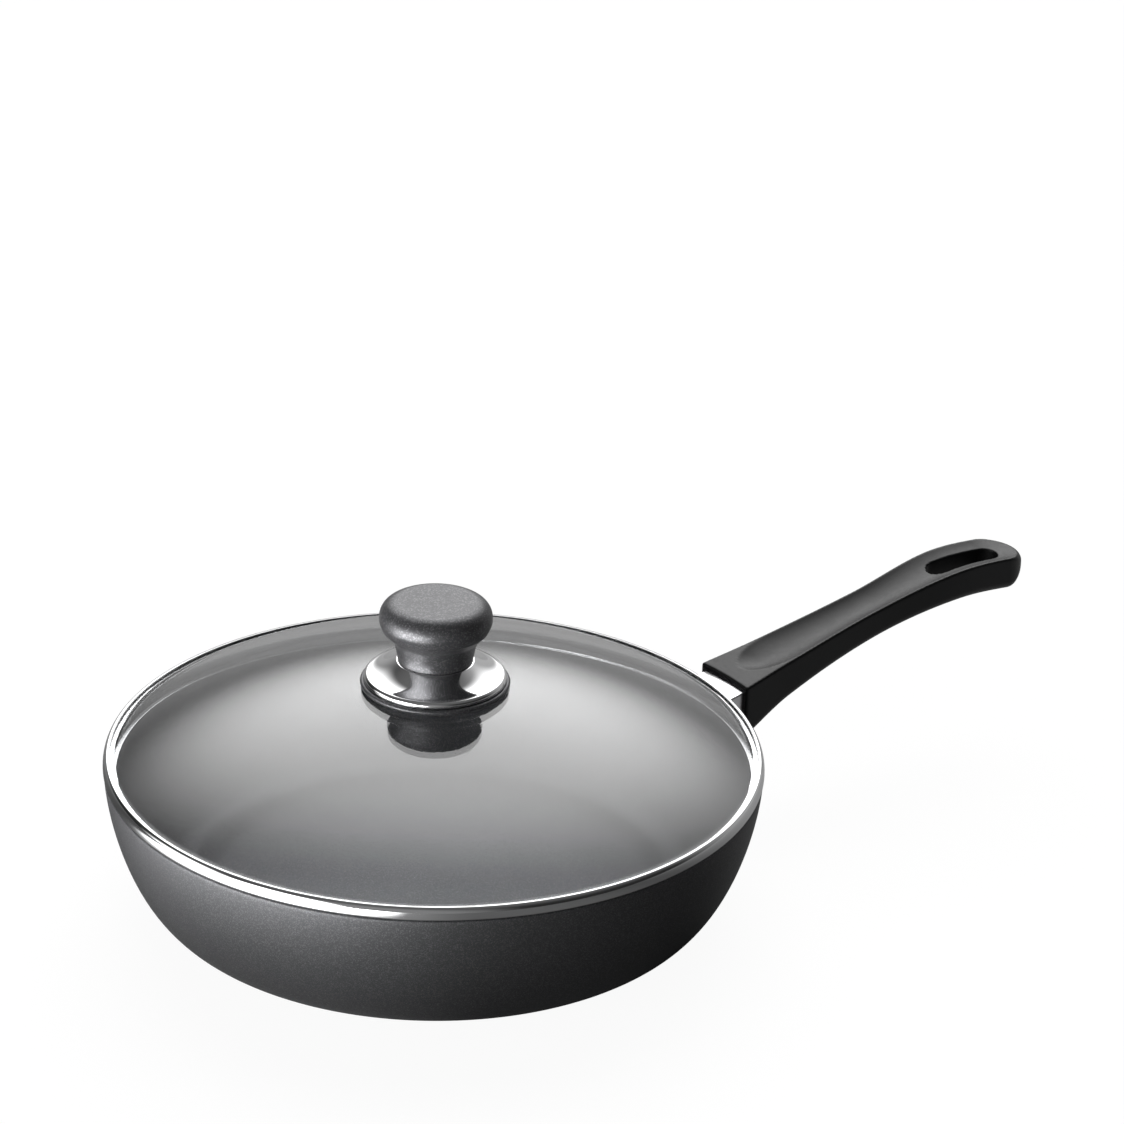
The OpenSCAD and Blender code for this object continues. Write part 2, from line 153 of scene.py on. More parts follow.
def maths(tree, operation, *values):
    """A Math node's result. A value is a number or a socket."""
    made = tree.nodes.new("ShaderNodeMath")
    made.operation = operation
    for socket, value in zip(made.inputs, values):
        if isinstance(value, bpy.types.NodeSocket):
            tree.links.new(value, socket)
        else:
            socket.default_value = value
    return made.outputs[0]


def total(tree, first, *others):
    """The sum of several values."""
    for other in others:
        first = maths(tree, "ADD", first, other)
    return first


def spread(tree, value, low, high, to_low, to_high):
    """The value's range from low to high, mapped to another range."""
    made = node(tree, "ShaderNodeMapRange", Value=value, From_Min=low, From_Max=high,
                To_Min=to_low, To_Max=to_high)
    return made.outputs["Result"]


def blended(tree, share, one, two):
    """The colour between two colours, by share."""
    made = tree.nodes.new("ShaderNodeMix")
    made.data_type = "RGBA"
    for name, value in (("Factor", share), ("A", one), ("B", two)):
        socket = [s for s in made.inputs if s.name == name and s.enabled][0]
        if isinstance(value, bpy.types.NodeSocket):
            tree.links.new(value, socket)
        else:
            socket.default_value = value
    return [s for s in made.outputs if s.enabled][0]


def effect(name, inputs, outputs):
    """An empty effect group. Each input is (name, value), each output a name."""
    tree = bpy.data.node_groups.new(name, "ShaderNodeTree")
    for label, value in inputs:
        socket = tree.interface.new_socket(label, in_out="INPUT", socket_type="NodeSocketFloat")
        socket.default_value = value
    for label in outputs:
        tree.interface.new_socket(label, in_out="OUTPUT", socket_type="NodeSocketFloat")
    return tree, tree.nodes.new("NodeGroupInput").outputs, tree.nodes.new("NodeGroupOutput").inputs


def placed(tree, group, **inputs):
    """Puts an effect group into a material's tree and returns its outputs."""
    made = tree.nodes.new("ShaderNodeGroup")
    made.node_tree = group
    for key, value in inputs.items():
        made.inputs[key].default_value = value
    return made.outputs


def finish_of(name, **sockets):
    """A new material. The sockets given are set on its shader as plain values."""
    material = bpy.data.materials.new(name)
    material.use_nodes = True
    shader = material.node_tree.nodes["Principled BSDF"]
    for key, value in sockets.items():
        shader.inputs[key.replace("_", " ")].default_value = value
    return material, material.node_tree, shader


def coloured(tree, shader, share, one, two):
    """Feeds the shader's colour, which runs between two colours by share."""
    tree.links.new(blended(tree, share, (*one, 1), (*two, 1)), shader.inputs["Base Color"])


def roughened(tree, shader, noise, low, high):
    """Feeds the shader's roughness, which follows the middle part of a noise."""
    tree.links.new(spread(tree, noise, 0.3, 0.7, low, high), shader.inputs["Roughness"])


def bumped(tree, shader, height, depth):
    """Feeds a height to the shader's normal, with its depth in metres."""
    made = node(tree, "ShaderNodeBump", Height=height, Distance=depth, Strength=1.0)
    tree.links.new(made.outputs["Normal"], shader.inputs["Normal"])


# Grain: the fine even pebbling of a sprayed or moulded skin, with a speck here and there
grain, given, put = effect("Fine grain", [("Size", 0.4 * MM)], ["Height", "Speck"])
place = node(grain, "ShaderNodeTexCoord").outputs["Object"]
per_metre = maths(grain, "DIVIDE", 1.0, given["Size"])
pebbles = node(grain, "ShaderNodeTexNoise", Vector=place, Scale=per_metre, Detail=2.0,
               Roughness=0.6)
specks = node(grain, "ShaderNodeTexVoronoi", Vector=place,
              Scale=maths(grain, "MULTIPLY", per_metre, 0.9))
grain.links.new(pebbles.outputs["Fac"], put["Height"])
speck_tone = node(grain, "ShaderNodeSeparateColor", Color=specks.outputs["Color"]).outputs[0]
grain.links.new(speck_tone, put["Speck"])

# Handling: broad soft clouds where hands and cloths have polished or dulled a surface
handling, given, put = effect("Handling marks", [("Size", 30 * MM)], ["Cloud", "Rub"])
place = node(handling, "ShaderNodeTexCoord").outputs["Object"]
per_metre = maths(handling, "DIVIDE", 1.0, given["Size"])
clouds = node(handling, "ShaderNodeTexNoise", Vector=place, Scale=per_metre, Detail=4.0,
              Roughness=0.55)
rubs = node(handling, "ShaderNodeTexNoise", Vector=place,
            Scale=maths(handling, "MULTIPLY", per_metre, 9.0), Detail=3.0, Distortion=1.5)
handling.links.new(clouds.outputs["Fac"], put["Cloud"])
handling.links.new(rubs.outputs["Fac"], put["Rub"])

# Turning: the fine rings that a lathe tool or a polishing wheel leaves round the axis
turning, given, put = effect("Turned rings", [("Pitch", 0.5 * MM)], ["Height", "Shade"])
place = node(turning, "ShaderNodeTexCoord").outputs["Object"]
x, y, z = node(turning, "ShaderNodeSeparateXYZ", Vector=place).outputs
x_squared = maths(turning, "MULTIPLY", x, x)
y_squared = maths(turning, "MULTIPLY", y, y)
out_from_axis = maths(turning, "SQRT", maths(turning, "ADD", x_squared, y_squared))
along = maths(turning, "DIVIDE", maths(turning, "ADD", out_from_axis, z), given["Pitch"])
lines = node(turning, "ShaderNodeTexNoise", {"noise_dimensions": "1D"}, W=along, Scale=1.0,
             Detail=3.0, Roughness=0.7)
shades = node(turning, "ShaderNodeTexNoise", {"noise_dimensions": "1D"},
              W=maths(turning, "MULTIPLY", along, 0.13), Scale=1.0, Detail=2.0)
turning.links.new(lines.outputs["Fac"], put["Height"])
turning.links.new(shades.outputs["Fac"], put["Shade"])

coating, tree, shader = finish_of("pan coating", Metallic=0.82, Specular_IOR_Level=0.5)
flake = placed(tree, grain, Size=0.28 * MM)
cloud = placed(tree, handling, Size=50 * MM)
shine = spread(tree, flake["Speck"], 0.6, 1.0, 0.0, 1.0)
coloured(tree, shader, shine, (0.08, 0.081, 0.085), (0.15, 0.15, 0.155))
roughened(tree, shader, cloud["Cloud"], 0.52, 0.56)
bumped(tree, shader, flake["Height"], 0.004 * MM)

bare_metal, tree, shader = finish_of("turned bare aluminium", Metallic=1.0)
rings = placed(tree, turning, Pitch=0.7 * MM)
coloured(tree, shader, rings["Shade"], (0.5, 0.5, 0.51), (0.68, 0.68, 0.69))
roughened(tree, shader, rings["Shade"], 0.32, 0.45)
bumped(tree, shader, rings["Height"], 0.05 * MM)


def under_grooves():
    """Outline of the flat underside from the axis outwards, with its turned grooves."""
    count, width, side, first, plain_edge = 9, 1.6 * MM, 0.2 * MM, 22 * MM, 4 * MM
    step = (base_r - plain_edge - first) / count
    points = [(0, 0)]
    for i in range(count):
        r = first + i * step
        points += [(r, 0), (r + side, groove_h), (r + width - side, groove_h), (r + width, 0)]
    return points


wall_out = curve((base_r, 0), (base_r + base_pull, 0), (rim_r - rim_lean, rim_h - rim_pull),
                 (rim_r, rim_h - rim_edge), WALL_STEPS)
wall_in = curve((rim_in_r, rim_h - rim_edge), (rim_in_r - rim_lean, rim_h - rim_pull),
                (floor_r + floor_pull, floor_z), (floor_r, floor_z), WALL_STEPS)
floor_line = [(floor_r * i / FLOOR_RINGS, floor_z) for i in range(FLOOR_RINGS - 1, -1, -1)]
pan = turned("pan", under_grooves() + wall_out
             + arc(rim_r - rim_edge, rim_h - rim_edge, rim_edge, 0, 90, 5)[1:]
             + arc(rim_in_r + rim_edge, rim_h - rim_edge, rim_edge, 90, 180, 5)[:-1]
             + wall_in + floor_line)


def wall_radius(z):
    """Radius of the pan's outside at a height."""
    for (r0, z0), (r1, z1) in zip(wall_out, wall_out[1:]):
        if z0 <= z <= z1:
            return r0 + (r1 - r0) * (z - z0) / max(z1 - z0, 1e-9)
    return rim_r


# The lug lies along the slope of the grip's top
GRIP_FRONT = rim_r + 17.3 * MM
GRIP_Z = rim_h - 1.8 * MM
heel_at = 26 * MM
heel_rise = 4.9 * MM
tilt = math.atan(heel_rise / heel_at)
along_handle = Matrix.Translation((GRIP_FRONT, 0, GRIP_Z)) @ Matrix.Rotation(-tilt, 4, "Y")
wall_reach = GRIP_FRONT - rim_r + wall_t
bracket_step = 2.6 * MM
bracket_h = 16.6 * MM
lug_w = 14 * MM
lug_h = 7 * MM
lug_in = 24 * MM
lug_edge = 1 * MM
lug_root = 1 * MM
above_lug = 0.32
lug_top = -bracket_step - (bracket_h - lug_h) * above_lug
lug_low = lug_top - lug_h


def rounded_box(low, high, radius, steps=4):
    """Points of a rectangle in the plane across the handle. A radius rounds its corners."""
    (y0, z0), (y1, z1) = low, high
    if radius == 0:
        return [(y1, z0), (y1, z1), (y0, z1), (y0, z0)]
    return (arc(y1 - radius, z0 + radius, radius, -90, 0, steps)
            + arc(y1 - radius, z1 - radius, radius, 0, 90, steps)
            + arc(y0 + radius, z1 - radius, radius, 90, 180, steps)
            + arc(y0 + radius, z0 + radius, radius, 180, 270, steps))


def swept(name, section, stations):
    """A closed bar along the handle. Each station is a function from (y, z) to a distance."""
    bm = bmesh.new()
    rings = [[bm.verts.new(along_handle @ Vector((place(y, z), y, z))) for y, z in section]
             for place in stations]
    for one, two in zip(rings, rings[1:]):
        for i in range(len(section)):
            j = (i + 1) % len(section)
            bm.faces.new([one[i], one[j], two[j], two[i]])
    bm.faces.new(rings[0])
    bm.faces.new(rings[-1])
    return piece_from(name, bm)


def at(x):
    """A station at a fixed distance along the handle."""
    return lambda y, z: x


lug_section = rounded_box((-lug_w / 2, lug_low), (lug_w / 2, lug_top), lug_edge)
lug = swept("lug", lug_section, [at(-wall_reach + lug_root), at(0), at(lug_in)])
joined(pan, lug, "UNION")

pan.data.materials.append(coating)
pan.data.materials.append(bare_metal)
for face in pan.data.polygons:
    if face.center.z < 1.5 * groove_h and face.center.xy.length < base_r:
        face.material_index = 1
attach(pan, "pan")
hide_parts("pan_body")


# The bracket is a short sleeve of polished aluminium round the lug. Its inner end is cut to
# the curve of the wall, and its outer end sits in a socket in the front of the grip.
bracket_w = 26 * MM
bracket_in = 6 * MM
bracket_edge = 0.7 * MM
bracket_gap = 0.05 * MM
HALVINGS = 40
polished, tree, shader = finish_of("polished aluminium", Metallic=1.0)
cloud = placed(tree, handling, Size=12 * MM)
coloured(tree, shader, cloud["Cloud"], (0.84, 0.84, 0.85), (0.93, 0.93, 0.94))
roughened(tree, shader, cloud["Rub"], 0.28, 0.36)
bumped(tree, shader, cloud["Rub"], 0.02 * MM)


def on_wall(y, z):
    """Distance along the handle at which the line through (y, z) meets the pan's wall."""
    near, far = -1.5 * wall_reach, 0.0
    for _ in range(HALVINGS):
        middle = (near + far) / 2
        p = along_handle @ Vector((middle, y, z))
        if p.xy.length > wall_radius(p.z) + bracket_gap:
            far = middle
        else:
            near = middle
    return far


def between(place, share):
    """A station at a share of the way from another station to the grip's front."""
    return lambda y, z: place(y, z) * (1 - share)


bracket_low = -bracket_step - bracket_h
bracket_section = rounded_box((-bracket_w / 2, bracket_low),
                              (bracket_w / 2, -bracket_step), bracket_edge)
bracket = swept("bracket", bracket_section,
                [on_wall, between(on_wall, 0.3), between(on_wall, 0.6), at(0), at(bracket_in)])
hole_half = lug_w / 2 + bracket_gap
hole_section = rounded_box((-hole_half, lug_low - bracket_gap),
                           (hole_half, lug_top + bracket_gap), lug_edge)
hole = swept("hole", hole_section, [at(-2 * wall_reach), at(2 * bracket_in)])
joined(bracket, hole, "DIFFERENCE")
bracket.data.materials.append(polished)
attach(bracket, "pan")
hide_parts("handle_bracket")


# The lock spring is a strip of spring steel in the grip. Its tooth snaps into a notch in the
# lug, so the grip can be pushed on but not pulled off.
spring_steel, tree, shader = finish_of("spring steel", Metallic=1.0)
cloud = placed(tree, handling, Size=6 * MM)
coloured(tree, shader, cloud["Cloud"], (0.36, 0.37, 0.4), (0.55, 0.55, 0.56))
roughened(tree, shader, cloud["Rub"], 0.28, 0.42)


def dress(name, material):
    """Gives a CAD piece its finish."""
    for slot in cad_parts[name].material_slots:
        slot.material = material


dress("lock_spring", spring_steel)


# The grip is moulded in black phenolic resin with a matt, finely grained skin. A thumb groove
# runs along its top to a hanging slot, and a socket in its front takes bracket and lug.
grip_len = 159.4 * MM
waist_at = 76 * MM
crest_at = grip_len - 39.5 * MM
nose_r = 12.5 * MM
nose_at = grip_len - nose_r
GRIP_STATIONS = [0, heel_at, waist_at, crest_at, grip_len]
GRIP_TOPS = [GRIP_Z + rise * MM for rise in (0, 4.9, 14.4, 21.7, 19.3)]
GRIP_THICK = [t * MM for t in (24.5, 17.4, 13.4, 14.4, 15.2)]
GRIP_WIDTHS = [w * MM for w in (30.8, 25.8, 20.9, 25, 25)]
top_corner, tip_top_r = 1 * MM, 4.5 * MM
low_corner, tip_low_r = 4 * MM, 10 * MM
front_edge = 1 * MM
groove_from = 8 * MM
groove_full = 30 * MM
groove_to = grip_len - 2 * MM
groove_deep = 2.4 * MM
groove_edge = 0.9 * MM
groove_least = 0.5 * MM
groove_rise = 11 * MM
groove_fade = 14 * MM
round_share = 0.86
slot_w = 11 * MM
slot_l = 37.4 * MM
slot_end = grip_len - 11.4 * MM
spring_room = 3 * MM
skin_voxel = 0.42 * MM
TOP_POINTS = 16
BODY_SECTIONS = 110
NOSE_SECTIONS = 14
NOSE_TURN = 86


def smooth(values, u):
    """Value at u of a smooth curve through the values at the stations."""
    x = GRIP_STATIONS
    i = max(k for k in range(4) if k == 0 or u >= x[k])

    def slope(k):
        a, b = max(k - 1, 0), min(k + 1, 4)
        return (values[b] - values[a]) / (x[b] - x[a])

    step = x[i + 1] - x[i]
    t = (u - x[i]) / step
    return (values[i] * (1 + t * t * (2 * t - 3)) + values[i + 1] * t * t * (3 - 2 * t)
            + step * (slope(i) * t * (1 - t)**2 - slope(i + 1) * t * t * (1 - t)))


def half_width(u):
    """Half the grip's width at u, with a round nose."""
    if u <= nose_at:
        return smooth(GRIP_WIDTHS, u) / 2
    return math.sqrt(nose_r**2 - (u - nose_at)**2)


def groove_half(u):
    """Half the width of the thumb groove at u: it starts round and then fills the top."""
    w = max(half_width(u) - groove_edge, groove_least)
    share = (u - groove_from) / (groove_full - groove_from)
    if share <= 0:
        return groove_least
    if share >= 1:
        return w
    return w * (round_share * math.sqrt(1 - (1 - share)**2) + (1 - round_share) * share)


def groove_depth(u):
    """Depth of the thumb groove at u: it runs out at both ends."""
    if u <= groove_from or u >= groove_to:
        return 0
    rise = min(1, (u - groove_from) / groove_rise)
    return groove_deep * min(1 - (1 - rise)**2, (groove_to - u) / groove_fade)


def edge_radius(u, along, at_tip):
    """Radius of a rounded edge at u: it grows round the nose."""
    share = max(u - nose_at, 0) / nose_r
    return along + (at_tip - along) * share * share * (3 - 2 * share)


def edge_fall(u, y, r):
    """Fall of a rounded edge at a point of the grip as seen from above."""
    inside = half_width(u) - abs(y) if u <= nose_at else nose_r - math.hypot(u - nose_at, y)
    inside = max(inside, 0)
    return 0 if inside >= r else r - math.sqrt(inside * (2 * r - inside))


def edge_width(u, r):
    """Width that a rounded edge takes in the cross-section at u."""
    if u <= nose_at:
        return r
    flat = math.sqrt(max(0, (nose_r - r)**2 - (u - nose_at)**2))
    return min(half_width(u) * 0.9, half_width(u) - flat)


def front_fall(u):
    """How far the rounded front edge draws the sides of the grip in at u."""
    inside = min(u, front_edge)
    return front_edge - math.sqrt(inside * (2 * front_edge - inside))


def grip_section(u):
    """One cross-section of the grip, as points in space."""
    w, g, d = half_width(u) - front_fall(u), groove_half(u), groove_depth(u)
    above, below = edge_radius(u, top_corner, tip_top_r), edge_radius(u, low_corner, tip_low_r)
    top = smooth(GRIP_TOPS, u) - front_fall(u)
    low = top - smooth(GRIP_THICK, u) + 2 * front_fall(u)
    te, le = edge_width(u, above), edge_width(u, below)
    outline = []
    for i in range(2 * TOP_POINTS + 1):
        y = (w - te) * (1 - i / TOP_POINTS)
        outline.append((y, top - edge_fall(u, y, above) - d * max(0, 1 - (y / g)**2)))
    top_side = [w - te * (1 - math.cos(math.radians(a))) for a in (75, 60, 45, 30, 15, 0)]
    low_side = [w - le * (1 - math.cos(math.radians(a))) for a in range(0, 91, 10)]
    outline += [(-y, top - edge_fall(u, y, above)) for y in top_side]
    outline += [(-y, low + edge_fall(u, y, below)) for y in low_side]
    outline += [(y, low + edge_fall(u, y, below)) for y in reversed(low_side)]
    outline += [(y, top - edge_fall(u, y, above)) for y in reversed(top_side)]
    points = []
    for y, z in outline:
        bow = (GRIP_FRONT - math.sqrt(GRIP_FRONT**2 - y * y)) * max(0, 1 - u / heel_at)
        points.append((GRIP_FRONT + u - bow, y, z))
    return points


def grip_body():
    """The grip's solid form, before its slot and socket are cut."""
    places = [front_edge * share for share in (0, 0.08, 0.25, 0.5)]
    places += [front_edge + (nose_at - front_edge) * i / BODY_SECTIONS
               for i in range(BODY_SECTIONS + 1)]
    places += [nose_at + nose_r * math.sin(math.radians(NOSE_TURN * i / NOSE_SECTIONS))
               for i in range(1, NOSE_SECTIONS + 1)]
    bm = bmesh.new()
    rings = [[bm.verts.new(p) for p in grip_section(u)] for u in places]
    for one, two in zip(rings, rings[1:]):
        for i in range(len(one)):
            j = (i + 1) % len(one)
            bm.faces.new([one[i], one[j], two[j], two[i]])
    for ring in (rings[0], rings[-1]):
        middle = bm.verts.new(sum((v.co for v in ring), Vector()) / len(ring))
        for i in range(len(ring)):
            bm.faces.new([ring[i], ring[(i + 1) % len(ring)], middle])
    return piece_from("grip", bm)


def slot_tool():
    """The prism that cuts the hanging slot."""
    bend = slot_w / 2
    end = GRIP_FRONT + slot_end
    outline = (arc(end - bend, 0, bend, -90, 90, 16)
               + arc(end - slot_l + bend, 0, bend, 90, 270, 16))
    bm = bmesh.new()
    low = [bm.verts.new((x, y, GRIP_Z - GRIP_THICK[0])) for x, y in outline]
    high = [bm.verts.new((x, y, GRIP_Z + 2 * GRIP_THICK[0])) for x, y in outline]
    for i in range(len(outline)):
        j = (i + 1) % len(outline)
        bm.faces.new([low[i], low[j], high[j], high[i]])
    bm.faces.new(low)
    bm.faces.new(high)
    return piece_from("slot tool", bm)


grip = grip_body()
joined(grip, slot_tool(), "DIFFERENCE")
socket = rounded_box((-bracket_w / 2 - bracket_gap, bracket_low - bracket_gap),
                     (bracket_w / 2 + bracket_gap, -bracket_step + bracket_gap), 0)
joined(grip, swept("socket", socket, [at(-bracket_in), at(bracket_in)]), "DIFFERENCE")
lug_socket = rounded_box((-hole_half, lug_low - spring_room), (hole_half, lug_top + bracket_gap), 0)
joined(grip, swept("lug socket", lug_socket, [at(0), at(lug_in + spring_room)]), "DIFFERENCE")
skin = grip.modifiers.new("skin", "REMESH")
skin.mode = "VOXEL"
skin.voxel_size = skin_voxel
soften = grip.modifiers.new("soften", "SMOOTH")
soften.factor = 0.5
soften.iterations = 2
settle(grip, 60)

phenolic, tree, shader = finish_of("matt phenolic", Specular_IOR_Level=0.27)
skin_grain = placed(tree, grain, Size=0.35 * MM)
cloud = placed(tree, handling, Size=25 * MM)
coloured(tree, shader, cloud["Cloud"], (0.004, 0.004, 0.0045), (0.007, 0.007, 0.0075))
roughened(tree, shader, cloud["Rub"], 0.35, 0.42)
bumped(tree, shader, skin_grain["Height"], 0.025 * MM)
grip.data.materials.append(phenolic)
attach(grip, "pan")
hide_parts("handle_grip")


# The lid's glass is clear tempered glass, sagged into a dome with a flat ground edge. The hole
# in its crown takes the screw of the knob.
glass_low, glass_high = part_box("lid_glass")
glass_t = 4 * MM
glass_r = glass_high.x
glass_edge_low = glass_low.z
glass_edge_top = glass_edge_low + glass_t
lip_r = 130.9 * MM
flat_in_lip = 0.5 * MM
dome_r = lip_r - flat_in_lip
glass_rise = 32.6 * MM
hole_r = 4 * MM
ball_r = (dome_r**2 + glass_rise**2) / (2 * glass_rise)
ball_z = glass_edge_top + glass_rise - ball_r
glass_grind = 0.5 * MM


def glass_top(r):
    """Height of the glass above at a distance from the axis."""
    return ball_z + math.sqrt(ball_r**2 - r * r)


def glass_under(r):
    """Height of the underside of the glass."""
    return ball_z + math.sqrt((ball_r - glass_t)**2 - r * r)


dome_low_r = math.sqrt((ball_r - glass_t)**2 - (glass_edge_low - ball_z)**2)
DOME_STEPS = 72
over = [hole_r + (dome_r - hole_r) * i / DOME_STEPS for i in range(DOME_STEPS + 1)]
under = [hole_r + (dome_low_r - hole_r) * i / DOME_STEPS for i in range(DOME_STEPS, -1, -1)]
glass = turned("glass_dome", [(r, glass_top(r)) for r in over]
               + [(glass_r - glass_grind, glass_edge_top), (glass_r, glass_edge_top - glass_grind),
                  (glass_r, glass_edge_low + glass_grind), (glass_r - glass_grind, glass_edge_low)]
               + [(r, glass_under(r)) for r in under])

clear_glass, tree, shader = finish_of("tempered glass", Base_Color=(0.975, 0.98, 0.985, 1),
                                      Roughness=0.0, IOR=1.5, Transmission_Weight=1.0)
let_through = node(tree, "ShaderNodeBsdfTransparent", Color=(0.93, 0.935, 0.94, 1))
light_path = node(tree, "ShaderNodeLightPath").outputs
mixed = node(tree, "ShaderNodeMixShader", Fac=light_path["Is Shadow Ray"])
tree.links.new(shader.outputs["BSDF"], mixed.inputs[1])
tree.links.new(let_through.outputs["BSDF"], mixed.inputs[2])
tree.links.new(mixed.outputs["Shader"], tree.nodes["Material Output"].inputs["Surface"])
glass.data.materials.append(clear_glass)
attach(glass, "lid")
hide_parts("lid_glass")


# The lid's rim is one strip of stainless steel, rolled round the edge of the glass and
# polished. Its bottom turns down into a skirt that centres the lid in the pan.
band_low, band_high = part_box("lid_rim")
sheet_t = 0.6 * MM
band_r = band_high.x
band_top = band_high.z
skirt_h = 5 * MM
skirt_gap = 0.7 * MM
skirt_r = rim_in_r - skirt_gap
skirt_z = band_low.z
band_z = skirt_z + skirt_h

mirror_steel, tree, shader = finish_of("polished stainless steel", Metallic=1.0)
rings = placed(tree, turning, Pitch=0.4 * MM)
cloud = placed(tree, handling, Size=20 * MM)
coloured(tree, shader, cloud["Cloud"], (0.72, 0.725, 0.735), (0.8, 0.805, 0.81))
roughened(tree, shader, cloud["Rub"], 0.06, 0.12)
bumped(tree, shader, rings["Height"], 0.002 * MM)

bead_r = 0.3 * MM
bead_groove = (lip_r + 0.62 * MM, band_top - 0.3 * MM)
shoulder_r = lip_r + 0.75 * MM
shoulder_z = band_z + 1.4 * MM
band_bend = 0.8 * MM
bend_end = 0.1 * MM
skirt_bend = 0.5 * MM
flange = 0.6 * MM
inside_r = skirt_r - sheet_t
glass_gap = 0.1 * MM
glass_seat = glass_edge_top + 0.05 * MM
seat_r = glass_r + glass_gap
shoulder = [(shoulder_r + (band_r - shoulder_r) * math.cos(math.radians(a)),
             shoulder_z + (band_top - shoulder_z) * math.sin(math.radians(a)))
            for a in range(90, -1, -5)]
band_outline = (
    arc(lip_r + bead_r, band_top - bead_r, bead_r, 180, 30, 6)
    + [bead_groove]
    + shoulder
    + [(band_r, band_z + band_bend + bend_end)]
    + arc(band_r - band_bend, band_z + band_bend, band_bend, 0, -90, 8)
    + arc(skirt_r + skirt_bend, band_z - skirt_bend, skirt_bend, 90, 180, 4)
    + arc(skirt_r - sheet_t / 2, skirt_z + sheet_t / 2, sheet_t / 2, 0, -90, 4)
    + arc(inside_r - flange, skirt_z + flange / 2, flange / 2, -90, -270, 8)
    + [(inside_r, skirt_z + flange), (inside_r, band_z + sheet_t), (seat_r, band_z + sheet_t),
       (seat_r, glass_edge_top - glass_grind), (seat_r - glass_grind, glass_seat),
       (lip_r, glass_seat)])
band = turned("rolled_rim", band_outline, crease=40)
band.data.materials.append(mirror_steel)
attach(band, "lid")
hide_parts("lid_rim")


# The knob's base is a black moulded ring that stands on the glass, with a soft seal under it.
# Its boss carries the steel plate.
base_low, base_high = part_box("knob_base")
plate_low, plate_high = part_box("knob_plate")
stack_gap = 0.05 * MM
ring_r = base_high.x
ring_top = plate_low.z - stack_gap
ring_low = base_low.z
neck_r = 15.2 * MM
screw_hole_r = 2.75 * MM
foot_w = 3.2 * MM
foot_in_r = ring_r - foot_w
foot_out_r = ring_r - 0.6 * MM
foot_bend = 0.3 * MM
foot_gap = 0.15 * MM
ridge = 1.1 * MM
ridge_z = ring_top - 1.25 * MM
plate_seat = 1.2 * MM
seat_lip = 0.5 * MM
seat_drop = 0.6 * MM
boss_r = neck_r - 1.5 * MM
plate_t = 0.8 * MM
foot_z = plate_high.z
boss_top = foot_z - plate_t - stack_gap
seal_t = 0.7 * MM
crown = glass_top(0) + seal_t

knob_skin, tree, shader = finish_of("satin phenolic", Specular_IOR_Level=0.6, Metallic=0.6)
flake = placed(tree, grain, Size=0.45 * MM)
cloud = placed(tree, handling, Size=20 * MM)
shine = spread(tree, flake["Speck"], 0.6, 1.0, 0.0, 1.0)
coloured(tree, shader, shine, (0.065, 0.065, 0.069), (0.14, 0.14, 0.145))
roughened(tree, shader, cloud["Rub"], 0.36, 0.41)
bumped(tree, shader, flake["Height"], 0.03 * MM)

ring = turned("knob_ring", [(screw_hole_r, crown), (foot_in_r, crown),
                            (foot_in_r, glass_top(foot_in_r) + foot_gap)]
              + arc(foot_out_r - foot_bend, ring_low + foot_bend, foot_bend, -90, 0, 4)
              + arc(ring_r - ridge, ridge_z, ridge, -30, 125, 12)
              + [(plate_high.x - plate_seat + seat_lip, ring_top - seat_drop),
                 (plate_high.x - plate_seat, ring_top), (boss_r, ring_top),
                 (boss_r, boss_top), (screw_hole_r, boss_top)])
ring.data.materials.append(knob_skin)
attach(ring, "lid")
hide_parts("knob_base")


# The plate is pressed from stainless steel sheet and polished like a mirror. It flares up from
# a rolled edge to the foot of the knob.
plate_r = plate_high.x
plate_z = plate_low.z
edge_top = plate_z + 2.75 * MM
edge_bend = 1.9 * MM
edge_low_bend = 0.2 * MM
knob_cover = 0.2 * MM
flare_start = neck_r + 0.4 * MM
flare_end = plate_r - edge_bend - 0.05 * MM
flare_end_below = plate_r - 2 * plate_t
line_depth = 0.3 * MM


def flare(r0, r1, lift, steps=28):
    """The plate's rise from its edge to the neck, seen as an outline from the neck outwards."""
    return curve((r0, foot_z + lift), (r0 + 2.4 * MM, foot_z - 1.6 * MM + lift),
                 (r1 - 4.2 * MM, edge_top + 0.85 * MM + lift), (r1, edge_top + lift), steps)


plate = turned("flared_plate", [(screw_hole_r, foot_z), (neck_r - knob_cover, foot_z)]
               + flare(flare_start, flare_end, 0)
               + [(plate_r - edge_bend, edge_top - line_depth)]
               + arc(plate_r - edge_bend, edge_top - edge_bend, edge_bend, 80, 0, 14)
               + arc(plate_r - edge_low_bend, plate_z + edge_low_bend, edge_low_bend, 0, -90, 3)
               + [(plate_r - plate_t, plate_z)]
               + flare(flare_start - plate_t, flare_end_below, -plate_t)[::-1]
               + [(screw_hole_r, foot_z - plate_t)], crease=40)
plate_finish, tree, shader = finish_of("mirror steel", Metallic=1.0)
cloud = placed(tree, handling, Size=15 * MM)
coloured(tree, shader, cloud["Cloud"], (0.8, 0.8, 0.81), (0.86, 0.86, 0.865))
roughened(tree, shader, cloud["Rub"], 0.03, 0.08)
plate.data.materials.append(plate_finish)
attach(plate, "lid")
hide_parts("knob_plate")


